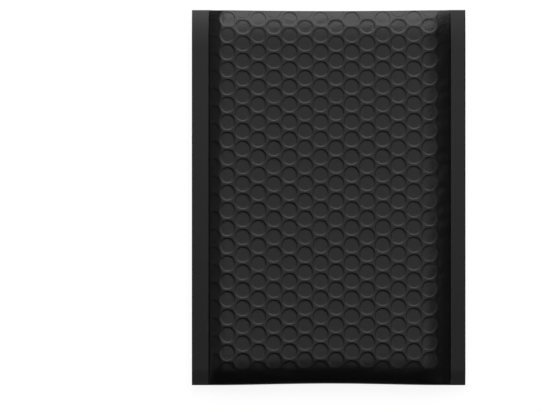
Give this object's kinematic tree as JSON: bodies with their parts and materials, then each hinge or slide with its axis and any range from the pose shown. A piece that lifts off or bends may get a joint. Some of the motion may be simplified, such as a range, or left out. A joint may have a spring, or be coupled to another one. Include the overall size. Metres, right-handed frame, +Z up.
{
  "type": "padded envelope",
  "caption": "Padded postal envelope of black bubble-lined film, lying on its back with its mouth open and its adhesive flap folded back underneath.",
  "frame": {"origin": "centre of the envelope's outline, on the surface that it lies on", "axes": "+X across the envelope to the right, +Y from the bottom fold to the mouth, +Z up out of the front panel"},
  "size_m": [0.184, 0.252, 0.013],
  "materials": {
    "black_film": "matt black polythene film laminated to bubble film",
    "adhesive": "clear pale hot-melt adhesive",
    "liner": "siliconed white release film"
  },
  "bodies": {
    "root": {"envelope": "black_film", "adhesive_strip": "adhesive", "release_liner": "liner"}
  },
  "joints": []
}
